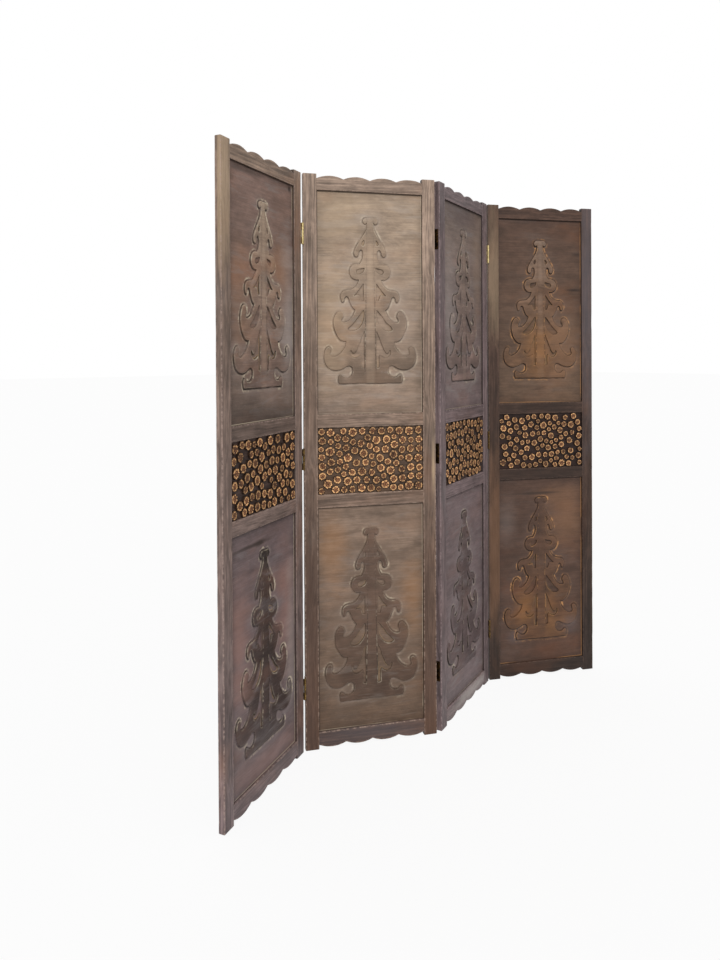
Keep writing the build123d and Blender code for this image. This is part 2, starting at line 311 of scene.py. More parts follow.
        # Two lines cut down the sides of the trunk, drawing together towards its cap.
        wander = s.times(s.minus(mottle, 0.5), 0.006)
        off = s.plus(s.math("ABSOLUTE", s.minus(x, tree.trunk)), wander)
        off = s.minus(off, s.ramp(rise, 0.0, 1.0, *TRUNK_HALF))
        line = s.times(s.mask(s.math("ABSOLUTE", off), 0.0002, 0.0018, 1.0, 0.0), s.mark("tree"),
                       s.mask(z, tree.foot + 0.02, tree.foot + 0.06),
                       s.mask(rise, 0.35, 0.65, 1.0, 0.3))
        raised = s.times(s.mask(off, -0.010, 0.0, 1.0, 0.0), s.mark("tree"),
                         s.mask(broad, 0.2, 0.8))
        shade = s.mix(s.times(raised, 0.18), shade, weighted(tree.tones[1], 1.5))
        # Painted highlights on parts of the cut lines, as strong as the rims.
        lit = s.times(s.mask(broken, 0.50, 0.60), tree.rims)
        shade = s.mix(s.times(line, 0.6), shade, s.mix(lit, GRIME_AND_SHADE, tree.rim_tone))
        relief = s.minus(relief, s.times(line, 2.0))

        # A painted shadow line under the top rail and by the left stile, and a painted highlight
        # line opposite.
        left, bottom, right, top = tree.opening
        dim = s.math("MINIMUM", s.minus(x, left), s.minus(top, z))
        shade = s.mix(s.times(s.mask(dim, 0.0010, 0.0045, 0.6, 0.0), front), shade, GRIME_AND_SHADE)
        inside = s.math("MINIMUM", s.minus(right, x), s.minus(z, bottom))
        rubbed_and_highlit = s.mask(s.math("ABSOLUTE", s.minus(inside, 0.0018)), 0.0004, 0.0018, 1.0, 0.0)
        rubbed_and_highlit = s.times(rubbed_and_highlit, s.mask(broad, 0.15, 0.60, 0.0, 0.7 * tree.rims), front)
        shade = s.mix(rubbed_and_highlit, shade, tree.rim_tone)
        shade = s.mix(s.times(s.mark("rim"), s.mask(broken, 0.34, 0.60)), shade, tree.rim_tone)

    # Worn edges and bare cuts, then grime and painted shade, from the marks on the pieces.
    for mark, spans, tone in (
            ("worn", (0.40, 0.64, 0.0, 0.65), weighted(usual, 2.1, 0.1)),
            ("bare", (0.30, 0.60, 0.35, 1.0), BARE_WOOD),
            ("grime_and_shade", (0.2, 0.6, 0.7, 1.0), GRIME_AND_SHADE)):
        shade = s.mix(s.times(s.mark(mark), s.mask(broken, *spans)), shade, tone)
    return s.finish(relief, 0.6, 0.0007, Base_Color=shade,
                    Roughness=s.ramp(dusty, 0.3, 0.7, 0.42, 0.66), Specular_IOR_Level=0.22)


# A sawn slice from its pith outwards: where each ring starts and is whole, and its colour.
PITH = (55, 35, 25)
SLICE_TONES = (
    (0.05, 0.24, (155, 105, 70)),
    (0.34, 0.50, (90, 55, 35)),
    (0.54, 0.68, (225, 175, 120)),
    (0.84, 0.95, (75, 45, 30)),
)


def slice_wood(name, seed, light):
    """Sawn branch ends: bark, pale sapwood, brown heart and a split pith."""
    s = Shader(bpy.data.materials.new(name))
    x, y, tone = s.parts(s.mark("disc", output=1))
    seeded = s.joined(x, y, s.times(tone, 40.0))
    flat = s.joined(x, y)
    reach = s.length(flat)
    ring = s.plus(reach, s.times(s.minus(s.noise(seeded, 3.2, seed), 0.5), 0.16))
    rays = s.vector("ADD", s.vector("NORMALIZE", flat), s.joined(z=s.times(tone, 60.0)))
    rays = s.noise(rays, 2.3, seed + 1, 4.0, 0.65)
    split = s.noise(s.vector("MULTIPLY", seeded, (5.0, 1.1, 1.0)), 1.6, seed + 2, 2.0)
    crack = s.times(s.mask(split, 0.50, 0.58), s.mask(ring, 0.34, 0.60, 1.0, 0.0))
    specks = s.noise(seeded, 14.0, seed + 4, 3.0, 0.7)

    sawn = colour(*PITH)
    for starts, whole, shade in SLICE_TONES:
        sawn = s.mix(s.mask(ring, starts, whole), sawn, colour(*shade))
    grown = s.mask(s.math("SINE", s.times(ring, 52.0)), -1.0, 1.0)
    for factor, shade in (
            (s.times(grown, 0.22), (95, 60, 35)),
            (s.times(s.mask(rays, 0.49, 0.56), s.mask(reach, 0.20, 0.60, 0.3, 0.95)), (60, 35, 25)),
            (s.times(crack, 0.9), (35, 20, 12)),
            (s.mask(specks, 0.50, 0.78, 0.0, 0.6), (110, 74, 44))):
        sawn = s.mix(factor, sawn, colour(*shade))
    sawn = s.toned(sawn, s.ramp(tone, 0.0, 1.0, 0.60 * light, 1.15 * light))
    ridges = s.noise(s.node("TexCoord", output=3), 420.0, seed + 6)
    bark = s.mix(s.mask(ridges, 0.35, 0.65), colour(25, 15, 10), colour(60, 40, 25))
    relief = s.minus(s.times(specks, 0.4), s.plus(crack, rays))
    return s.finish(relief, 0.7, 0.0008, Base_Color=s.mix(s.mark("bark"), sawn, bark),
                    Roughness=0.62, Specular_IOR_Level=0.25)


PAINTED_GLINT = (220, 200, 145)
PAINTED_GLINT_ABOVE = (1.30, 1.50)  # levels between which the painted glint on the brass comes in


def brass(name, tarnish, rubbed_and_highlit, glint):
    """Tarnished brass, brighter where the turning rubs it, and painted with a glint high up as
    strong as glint.
    """
    s = Shader(bpy.data.materials.new(name))
    place = s.node("TexCoord", output=3)
    cloud = s.noise(place, 160.0, 2.0, 5.0, 0.65)
    shade = s.mix(s.mask(cloud, 0.40, 0.72), colour(*tarnish), colour(*rubbed_and_highlit))
    high = s.mask(s.parts(place)[2], *PAINTED_GLINT_ABOVE, 0.0, glint)
    shade = s.mix(s.times(high, s.mask(cloud, 0.30, 0.60, 0.5, 1.0)), shade, colour(*PAINTED_GLINT))
    return s.finish(cloud, 0.25, 0.0002, Base_Color=shade, Metallic=1.0,
                    Roughness=s.ramp(cloud, 0.0, 1.0, 0.58, 0.34))


# ---------------------------------------------------------------- bars of the frame

EDGE_RADIUS = 1.5 * MM
EDGE_STEPS = 3
SHOULDER = 3.0 * MM  # from a rounded edge to where its wear ends
# From an end of a bar inwards: how far in a section is, and how far it is shrunk, in radii.
ROUNDED_END = ((0.0, 1.0), (0.3, 0.3), (1.0, 0.0))
BAR_STEP = 9.0 * MM
DENT = 0.7 * MM
DENT_SIZE = 45.0 * MM
WAVER = 0.25 * MM
WAVER_SIZE = 110.0 * MM
WALL_SHADE = 0.75  # painted shade on the sides that look into an opening from a stile or from above


def smoothstep(low, high, value):
    t = np.clip((value - low) / (high - low), 0.0, 1.0)
    return t * t * (3 - 2 * t)


def rounded_section(low, high, radius):
    """Points round a rectangle with worn edges, each with its wear and the way it faces."""
    points = []
    corners = ((high[0], high[1], 0.0), (low[0], high[1], 90.0),
               (low[0], low[1], 180.0), (high[0], low[1], 270.0))
    for cx, cy, start in corners:
        first = Vector((math.cos(math.radians(start)), math.sin(math.radians(start))))
        last = Vector((-first.y, first.x))
        centre = Vector((cx, cy)) - radius * (first + last)
        points.append((centre + radius * first - SHOULDER * last, 0.0, first))
        for step in range(EDGE_STEPS + 1):
            turn = math.pi / 2 * step / EDGE_STEPS
            facing = first * math.cos(turn) + last * math.sin(turn)
            points.append((centre + radius * facing, 1.0, facing))
        points.append((centre + radius * last - SHOULDER * first, 0.0, last))
    return points


def tube(rings, sides):
    """Faces of a solid through rings of points, with flat ends."""
    faces = []
    for base in range(0, (rings - 1) * sides, sides):
        for k in range(sides):
            n = (k + 1) % sides
            faces.append((base + k, base + n, base + sides + n, base + sides + k))
    faces.append(tuple(range(sides))[::-1])
    faces.append(tuple(range((rings - 1) * sides, rings * sides)))
    return faces


def bar(leaf, place, stations, axis, seed, material, ends_worn=True, wall=(0.0, 0.0)):
    """A worn bar through stations of (place along the axis, low, high) of its section.

    wall is the way that its side with painted shade faces, in the section.
    """
    spots = [(*station, 0.0) for station in stations]
    if ends_worn:
        (first, *start), (last, *end) = stations[0], stations[-1]
        foot = [(first + EDGE_RADIUS * inward, *start, EDGE_RADIUS * shrink)
                for inward, shrink in ROUNDED_END]
        top = [(last - EDGE_RADIUS * inward, *end, EDGE_RADIUS * shrink)
               for inward, shrink in ROUNDED_END[::-1]]
        spots = foot + spots[1:-1] + top
    points, worn, grime_and_shade = [], [], []
    for at, low, high, shrink in spots:
        low = (low[0] + shrink, low[1] + shrink)
        high = (high[0] - shrink, high[1] - shrink)
        middle = ((low[0] + high[0]) / 2, (low[1] + high[1]) / 2)
        section = rounded_section(low, high, EDGE_RADIUS)
        for (a, b), wear, facing in section:
            # Painted shade on the side that looks into an opening.
            grime_and_shade.append(WALL_SHADE * smoothstep(0.4, 1.0, facing.dot(Vector(wall))))
            spot = (a, b, at)
            away = Vector((a - middle[0], b - middle[1])).normalized()
            dent = max(0.0, hills(spot, DENT_SIZE, seed + 1) - 0.18) * DENT * wear
            sink = WAVER * (0.5 + 0.5 * hills(spot, WAVER_SIZE, seed)) + dent * 1.8
            a, b = a - away.x * sink, b - away.y * sink
            points.append({"X": (at, a, b), "Z": (a, b, at)}[axis])
            worn.append(wear if shrink == 0.0 else 1.0)
    node = leaf.node(place)
    fitted(leaf, node + "_worn", node, f"frame_wood_{leaf.number}", points,
           tube(len(spots), len(section)), material, {"worn": worn, "grime_and_shade": grime_and_shade}, crease=50.0)


def spaced(start, end, step):
    count = max(2, round((end - start) / step))
    return [start + (end - start) * i / count for i in range(count + 1)]


def stile_bar(leaf, side, material, seed):
    low, high = leaf.box(f"{side}_stile")
    stations = [(z, (low.x, low.y), (high.x, high.y)) for z in spaced(low.z, high.z, BAR_STEP)]
    # Painted shade on the stile's side that looks into the openings.
    inner = (1.0 if side == "left" else -1.0, 0.0)
    bar(leaf, f"{side}_stile", stations, "Z", seed, material, wall=inner)


RAIL_SINK = 0.35 * MM  # of a rail's faces behind those of the stiles
SCALLOP_COUNT = 4
SCALLOP_DEPTH = 9.0 * MM
SCALLOP_STEP = 2.6 * MM


def scallop(x, leaf, depth=SCALLOP_DEPTH):
    """How far the scalloped edge stands past its cusps at x."""
    pitch = (leaf.right - leaf.left) / SCALLOP_COUNT
    radius = (pitch * pitch / 4 + depth * depth) / (2 * depth)
    inside = min(max(x, leaf.left), leaf.right - 1e-6)
    off = (inside - leaf.left) % pitch - pitch / 2
    return math.sqrt(radius * radius - off * off) - (radius - depth)


def rail_bar(leaf, place, material, seed):
    low, high = leaf.box(place)
    step = SCALLOP_STEP if place in ("top_rail", "bottom_rail") else BAR_STEP
    stations = []
    for x in spaced(leaf.left - RAIL_SINK, leaf.right + RAIL_SINK, step):
        bottom, top = low.z, high.z
        if place == "top_rail":
            top = high.z - SCALLOP_DEPTH + scallop(x, leaf)
        if place == "bottom_rail":
            bottom = low.z + SCALLOP_DEPTH - scallop(x, leaf)
        stations.append((x, (RAIL_SINK, bottom), (leaf.thickness - RAIL_SINK, top)))
    # Painted shade under every rail but the bottom one.
    under = (0.0, 0.0) if place == "bottom_rail" else (0.0, -1.0)
    bar(leaf, place, stations, "X", seed, material, ends_worn=False, wall=under)


# ---------------------------------------------------------------- carved boards

# Right half of the tree in millimetres, x from the middle of its trunk and z from its
# foot, as strokes of a gouge from the cap down. Each stroke is one smooth curve that
# starts where the one before it ended.
TREE_STROKES = (
    ((0, 498), (10, 498.5), (17, 497), (22, 492), (23, 485), (19, 478.5), (14, 478), (11, 481)),
    ((11, 481), (12.5, 464), (20, 447), (30, 431), (40, 415), (46, 402), (48.5, 390), (45, 381.5),
     (38.5, 380), (34.5, 386), (33, 394), (28.5, 400.5), (23.5, 398), (21.5, 386), (24, 372),
     (31, 359)),
    ((31, 359), (42, 359), (53, 355), (60.5, 345), (62, 332), (57, 320), (47, 312.5), (34, 311)),
    ((34, 311), (39, 299), (47, 289), (58, 282.5), (70, 281), (81, 278), (88.5, 269), (89.5, 256),
     (85, 244.5), (79.5, 247), (77.5, 256), (72, 261), (66.5, 257), (62, 244), (55, 229),
     (46, 220)),
    ((46, 220), (54, 203), (65, 190), (77, 184), (86, 185.5), (86, 193), (82, 201), (84, 211),
     (91, 217), (99, 215), (106.5, 205), (111.5, 189), (111, 171), (105, 151), (94, 133),
     (84, 126), (74, 125)),
    ((74, 125), (79, 108), (91, 92), (105, 82.5), (116, 82), (122, 88), (120, 98), (120, 106),
     (126, 111), (134, 107), (139.5, 96), (141, 81), (138, 64), (130, 50), (118, 42), (103, 39.5),
     (86, 44), (72, 51.5), (61, 52), (55, 44), (56, 29), (66, 19), (79, 18.5), (87, 24.5),
     (93.5, 27), (98, 20), (98, 9), (95, 0)),
)
# Cuts through the tree on the right of its trunk, each one closed smooth curve or, where
# it is marked as sharp, a run of straight cuts.
TREE_CUTS = (
    (False, ((18, 429), (22.5, 425), (25, 418), (21.5, 413.5), (18, 418))),
    (False, ((17, 346), (26, 345), (37, 342), (41.5, 335), (37, 328.5), (28, 330.5),
             (19.5, 336.5))),
    (True, ((20, 299), (29.5, 286), (38.5, 274.5), (48, 264), (39, 266), (32, 266), (28.5, 256),
            (26, 248), (20, 248))),
    (False, ((20, 219), (33, 204), (49, 183), (66.5, 165), (63, 159), (50, 158), (36, 165.5),
             (24, 182), (19.5, 199))),
    (True, ((19, 155), (26, 140), (33, 119), (41, 100), (48, 90), (54, 90), (59.5, 99), (62.5, 96),
            (61, 86), (54.5, 78.5), (46, 76.5), (37, 80), (29, 86), (26, 80), (26, 48), (19, 46))),
)
TREE_SCALE = (1.015 * MM, 1.014 * MM)  # from the drawing's width and height to the board's
TREE_HEIGHT = 505.0 * MM
FOOT_MARGIN = 85.0 * MM  # from the opening's lower edge to the tree's foot
TRUNK_HALF = (18.0 * MM, 9.0 * MM)  # from the middle of the trunk to its sides, at foot and cap
UPPER_BOARD = "upper_carved_board"
LOWER_BOARD = "lower_carved_board"
# How far each board's tree was cut from where the drawing has it, at its foot and its top.
CUT_OFF_LINE = {UPPER_BOARD: (5.0 * MM, -3.0 * MM), LOWER_BOARD: (-4.0 * MM, 4.0 * MM)}
# The rails below and above each board.
BOARD_RAILS = {UPPER_BOARD: ("upper_middle_rail", "top_rail"),
               LOWER_BOARD: ("bottom_rail", "lower_middle_rail")}
BOARD_LEAST = 1.5 * MM  # that the deepest cut leaves of a board
CELL = 0.75 * MM  # that holds no more than one free point of a carved face
OUTLINE_STEP = 1.7 * MM
WALL_WIDTH = 0.9 * MM
ROUND_OVER = 2.4 * MM
ROUND_END = 7.0 * MM
CHANNEL_MIDDLE = 1.7 * MM
CHANNEL_END = 4.6 * MM
CHANNEL_DEPTH = 2.0 * MM
CUT_DEPTH = 1.3 * MM
FIELD_STEP = 4.6 * MM
ROW_STEP = 0.87  # from row to row of the field, in its steps
BOARD_SWELL = 0.3 * MM
CHATTER = 0.1 * MM  # of the gouge in the ground
FREE_FROM = 40.0 * MM  # of its edges, a board's relief wanders freely
SWAY = 1.6 * MM  # of the whole tree from its drawing
HAND_WANDER = 0.9 * MM  # of the gouge from its line


def smooth_run(knots, closed=False):
    """Points at even steps on a curve through the knots, as far as its end but without it."""
    knots = [Vector(k) for k in knots]
    if closed:
        knots = knots[-1:] + knots + knots[:2]
    else:
        knots = [knots[0] * 2 - knots[1]] + knots + [knots[-1] * 2 - knots[-2]]
    run = []
    for a, b, c, d in zip(knots, knots[1:], knots[2:], knots[3:]):
        steps = max(2, math.ceil((c - b).length / (OUTLINE_STEP / MM)))
        for step in range(steps):
            t = step / steps
            run.append(0.5 * (2 * b + (c - a) * t + (2 * a - 5 * b + 4 * c - d) * t * t
                              + (3 * b - a - 3 * c + d) * t ** 3))
    return run


def straight_run(knots):
    run = []
    for a, b in zip(knots, knots[1:] + knots[:1]):
        a, b = Vector(a), Vector(b)
        steps = max(1, math.ceil((b - a).length / (OUTLINE_STEP / MM)))
        run += [a.lerp(b, step / steps) for step in range(steps)]
    return run


def tree_loops():
    """Closed loops of the tree and of its cuts, in metres from its foot's middle."""
    half = []
    for stroke in TREE_STROKES:
        half += smooth_run(stroke)
    foot = Vector(TREE_STROKES[-1][-1])
    half += [foot.lerp(Vector((0, 0)), i / 50) for i in range(51)]
    mirrored = [Vector((-p.x, p.y)) for p in half[1:-1]][::-1]
    loops = [half + mirrored]
    for sharp, knots in TREE_CUTS:
        run = straight_run(knots) if sharp else smooth_run(knots, closed=True)
        loops += [run, [Vector((-p.x, p.y)) for p in run]]
    return [np.array([(p.x * TREE_SCALE[0], p.y * TREE_SCALE[1]) for p in loop]) for loop in loops]


def distances(points, loops):
    """Signed distance of each point to the tree's edge, negative in the wood of the tree,
    with the same to the outer loop alone, and how far up the way out of the wood leads."""
    def to_loop(loop):
        nearest = np.full(len(points), 1e9)
        rise = np.zeros(len(points))
        inside = np.zeros(len(points), bool)
        for a, b in zip(loop, np.roll(loop, -1, axis=0)):
            d = b - a
            t = np.clip(((points - a) @ d) / max(d @ d, 1e-18), 0.0, 1.0)
            gap = points - a - t[:, None] * d
            squared = np.einsum("ij,ij->i", gap, gap)
            rise = np.where(squared < nearest, gap[:, 1], rise)
            nearest = np.minimum(nearest, squared)
            crosses = (a[1] > points[:, 1]) != (b[1] > points[:, 1])
            if a[1] != b[1]:
                at = a[0] + (points[:, 1] - a[1]) * d[0] / d[1]
                inside ^= crosses & (points[:, 0] < at)
        return np.sqrt(nearest), inside, rise
    outer, within, rise = to_loop(loops[0])
    nearest, wood_here = outer.copy(), within.copy()
    for loop in loops[1:]:
        away, cut, cut_rise = to_loop(loop)
        rise = np.where(away < nearest, cut_rise, rise)
        nearest = np.minimum(nearest, away)
        wood_here &= ~cut
    upward = np.where(wood_here, -rise, rise) / np.maximum(nearest, 1e-6)
    return np.where(wood_here, -nearest, nearest), np.where(within, -outer, outer), upward


def carving_net(width, height, foot):
    """Points and triangles of a carved face, dense along the gouge cuts.

    The points are in a rectangle from the origin, with the foot's middle given.
    """
    loops = tree_loops()
    border = []
    corners = np.array(((0, 0), (width, 0), (width, height), (0, height)), float)
    for a, b in zip(corners, np.roll(corners, -1, axis=0)):
        count = round(np.linalg.norm(b - a) / FIELD_STEP)
        border += [a + (b - a) * i / count for i in range(count)]
    fixed = [np.array(border)] + [loop + foot for loop in loops]
    beside = []
    for loop in loops:
        ahead = np.roll(loop, -1, axis=0) - np.roll(loop, 1, axis=0)
        ahead /= np.linalg.norm(ahead, axis=1)[:, None] + 1e-12
        sideways = np.stack([ahead[:, 1], -ahead[:, 0]], axis=1)
        for reach in (WALL_WIDTH, ROUND_OVER, CHANNEL_MIDDLE, CHANNEL_END):
            for hand in (1.0, -1.0):
                moved = loop + sideways * reach * hand
                gap = np.abs(distances(moved, loops)[0])
                beside.append(moved[gap > 0.9 * reach])
    rng = random.Random(5)
    field = []
    for row in range(1, int(height / (FIELD_STEP * ROW_STEP))):
        for column in range(1, int(width / FIELD_STEP)):
            jitter = (rng.uniform(-0.2, 0.2), rng.uniform(-0.2, 0.2))
            px = (column + 0.5 * (row % 2) + jitter[0]) * FIELD_STEP
            py = (row + jitter[1]) * FIELD_STEP * ROW_STEP
            if px < width - 0.6 * FIELD_STEP and py < height - 0.6 * FIELD_STEP:
                field.append((px, py))
    field = np.array(field) - foot
    field = field[np.abs(distances(field, loops)[0]) > CHANNEL_END + 0.4 * FIELD_STEP]

    def cell_of(p):
        return int(p[0] / CELL), int(p[1] / CELL)

    # One point to each small cell keeps slivers out.
    seen, kept = {cell_of(p) for group in fixed for p in group}, []
    for p in np.concatenate(beside + [field]) + foot:
        if cell_of(p) not in seen and 0 < p[0] < width and 0 < p[1] < height:
            seen.add(cell_of(p))
            kept.append(p)
    points, edges = [], []
    for group in fixed:
        start, count = len(points), len(group)
        points += [Vector(p) for p in group]
        edges += [(start + i, start + (i + 1) % count) for i in range(count)]
    points += [Vector(p) for p in kept]
    made = delaunay_2d_cdt(points, edges, [], 1, 1e-7)
    flat = np.array([(p.x, p.y) for p in made[0]])
    return flat, [tuple(f) for f in made[2]], distances(flat - foot, loops)


def border_loop(faces):
    """Points round the outside of a net of triangles, in order."""
    once = {}
    for face in faces:
        for a, b in zip(face, face[1:] + face[:1]):
            if (b, a) in once:
                del once[(b, a)]
            else:
                once[(a, b)] = True
    following = dict(once.keys())
    start = next(iter(following))
    loop, here = [start], following[start]
    while here != start:
        loop.append(here)
        here = following[here]
    return loop


def opening_of(leaf, place):
    """Lowest and highest level of the opening that a carved board fills."""
    below, above = BOARD_RAILS[place]
    return leaf.box(below)[1].z, leaf.box(above)[0].z


def tree_levels(leaf, place):
    """Levels of the foot and the top of a board's tree."""
    foot = opening_of(leaf, place)[0] + FOOT_MARGIN
    return foot, foot + TREE_HEIGHT


def ridge(value, middle, width):
    """Falls from 1 at the middle towards 0, steeply about the width from it."""
    return np.exp(-(((value - middle) / width) ** 2))


def carved_board(leaf, place, net, material, seed, looks):
    """A board with the tree in relief, its gouge channel and its worn cuts."""
    low, high = leaf.box(place)
    bottom, summit = opening_of(leaf, place)
    face_depth = leaf.box("backing_board")[0].y
    relief = face_depth - low.y
    flat, faces, (edge, outer, upward) = net
    x, z = flat[:, 0] + low.x, flat[:, 1] + low.z

    def drifts(size, variant, squeeze=1.0):
        """Hills of a size at the points, longer across the board where they're squeezed."""
        return np.array([hills((a * squeeze, 0.0, b), size, seed + variant) for a, b in zip(x, z)])

    sway_x = drifts(0.14, 2) * SWAY + drifts(0.024, 7) * HAND_WANDER
    sway_z = drifts(0.17, 3) * SWAY + drifts(0.024, 8) * HAND_WANDER
    swell = drifts(0.09, 0) * BOARD_SWELL
    chatter = drifts(0.012, 4, 0.35) * CHATTER
    patchy = drifts(0.05, 5)
    speckled = drifts(0.018, 6)
    inset = np.minimum.reduce([x - leaf.left, leaf.right - x, z - bottom, summit - z])
    free = smoothstep(0.0, FREE_FROM, inset)
    foot, cap = tree_levels(leaf, place)
    off_line = np.interp(z, (foot, cap), CUT_OFF_LINE[place])

    wood_here = edge < 0
    under = smoothstep(-0.3, 0.9, -upward)
    rounding = 0.5 * (1 - smoothstep(WALL_WIDTH * 0.8, ROUND_OVER, -edge))
    rounding = (rounding + 0.7 * (1 - smoothstep(ROUND_OVER, ROUND_END, -edge))) * MM
    top = face_depth - relief + rounding
    channel = CHANNEL_DEPTH * (0.6 + 0.4 * under)
    channel = channel * (1 - smoothstep(CHANNEL_MIDDLE, CHANNEL_END, edge))
    in_cut = (outer < 0) & ~wood_here
    floor = face_depth + np.where(in_cut, CUT_DEPTH, channel)
    foot_of_wall = smoothstep(0.0, WALL_WIDTH, -edge)
    depth = np.where(wood_here, floor + (top - floor) * foot_of_wall, floor)
    depth = np.minimum(depth + (swell + chatter) * free, high.y - BOARD_LEAST)

    tree = smoothstep(-0.2 * MM, 1.2 * MM, -edge)
    cleaned = smoothstep(-0.25, 0.30, patchy)
    # The rim mark: wear on the tree's crests, and a painted highlight on the channel's outer slope,
    # wider below the boughs.
    slope = ridge(edge, (4.4 + 1.6 * under) * MM, 1.6 * MM) * ~in_cut
    crest = ridge(edge, -1.6 * MM, 1.2 * MM) * (1 - 0.7 * under)
    rim = looks.rims * (slope + 0.8 * crest) * (0.15 + 0.85 * cleaned) * (0.8 + 1.2 * speckled)
    rim = np.clip(rim, 0.0, 0.9)
    bare = looks.cuts * in_cut * cleaned * ridge(edge, 1.4 * MM, 1.1 * MM)
    # The trench: grime in the gouge channel, and painted shadow that is wider and darker below the
    # boughs.
    reach = np.where(wood_here, 1.0 * MM, (1.6 + 2.0 * under) * MM)
    trench = looks.trench * ridge(edge, 0.0, reach) * (0.6 + 0.4 * under)
    trench = trench * np.clip(0.75 + 0.8 * patchy + 0.9 * speckled, 0.1, 1.1)
    body = 0.22 * wood_here * smoothstep(-0.1, 0.5, patchy + 0.3 * (foot + 0.25 * TREE_HEIGHT > z))
    # Painted shade on the board near its frame, where it lies in the recess.
    border_shade = 1 - smoothstep(0.0, 34.0 * MM, inset + 12 * MM * patchy)
    grime_and_shade = np.clip(trench + body + 0.18 * border_shade, 0.0, 0.92)
    halo = np.where(outer > 0, np.exp(-np.clip(outer, 0, None) / (16.0 * MM)), 0.0)

    front = [(a + da * f, d, b + (db + off) * f)
             for a, b, d, da, db, f, off in zip(x, z, depth, sway_x, sway_z, free, off_line)]
    loop = border_loop(faces)
    back = [(front[i][0], high.y, front[i][2]) for i in loop]
    behind = {i: len(front) + n for n, i in enumerate(loop)}
    sides = [(j, i, behind[i], behind[j]) for i, j in zip(loop, loop[1:] + loop[:1])]
    faces = faces + sides + [tuple(behind[i] for i in loop)[::-1]]
    marks = {"tree": tree, "bare": bare, "rim": rim, "grime_and_shade": grime_and_shade, "halo": halo}
    marks = {mark: np.append(values, np.zeros(len(back))) for mark, values in marks.items()}
    node = leaf.node(place)
    fitted(leaf, node + "_relief", node, f"carved_wood_{leaf.number}", front + back, faces,
           material, marks, crease=40.0)


# ---------------------------------------------------------------- branch slices

SLICE_RADII = (8.0 * MM, 15.5 * MM)
SLICE_RADIUS_USUAL = 12.5 * MM
SLICE_TRIES = 14  # places tried for each slice, of which it takes the roomiest
SLICE_GAP = 0.3 * MM
SLICE_SPREAD = 3.5 * MM  # gap that slices move apart to where there is room
SLICE_SIDES = 44
SLICE_RINGS = (0.10, 0.24, 0.42, 0.58, 0.72, 0.86, 0.95, 1.0)  # in its radii, on its face
SLICE_WALL = ((0.55, 1.012), (0.0, 0.985))  # levels of its bark, each with its flare
SLICE_THICKNESS = (4.9 * MM, 6.3 * MM)
SLICE_SUNK = 0.2 * MM  # in its glue
SETTLING = 600  # rounds in which slices that overlap move apart


def slice_places(rng, low, high, wanted, girth):
    """Middles and radii of slices, the large ones laid first and each where there is room."""
    low, high = np.array(low), np.array(high)
    sizes = [girth * rng.triangular(*SLICE_RADII, SLICE_RADIUS_USUAL) for _ in range(wanted)]
    radii = np.array(sorted(sizes)[::-1])
    laid = []

    def room_at(spot):
        return min((math.dist(spot, other[:2]) - other[2] for other in laid), default=0.0)

    for radius in radii:
        tries = [[rng.uniform(a + radius, b - radius) for a, b in zip(low, high)]
                 for _ in range(SLICE_TRIES)]
        laid.append((*max(tries, key=room_at), radius))
    spots = np.array([place[:2] for place in laid])
    room = radii[:, None] + radii[None, :] + SLICE_SPREAD
    np.fill_diagonal(room, 0.0)
    for _ in range(SETTLING):
        apart = spots[:, None, :] - spots[None, :, :]
        gap = np.linalg.norm(apart, axis=2) + 1e-9
        push = np.clip(room - gap, 0.0, None) / gap
        spots = spots + 0.4 * (apart * push[:, :, None]).sum(axis=1)
        edge = (radii + SLICE_GAP)[:, None]
        spots = np.clip(spots, low + edge, high - edge)
    gap = np.linalg.norm(spots[:, None, :] - spots[None, :, :], axis=2)
    np.fill_diagonal(gap, 1.0)
    fits = np.minimum(radii, (gap - radii[None, :] - SLICE_GAP * 0.5).min(axis=1))
    return [(a, b, r) for (a, b), r in zip(spots, fits) if r > 0.6 * SLICE_RADII[0]]


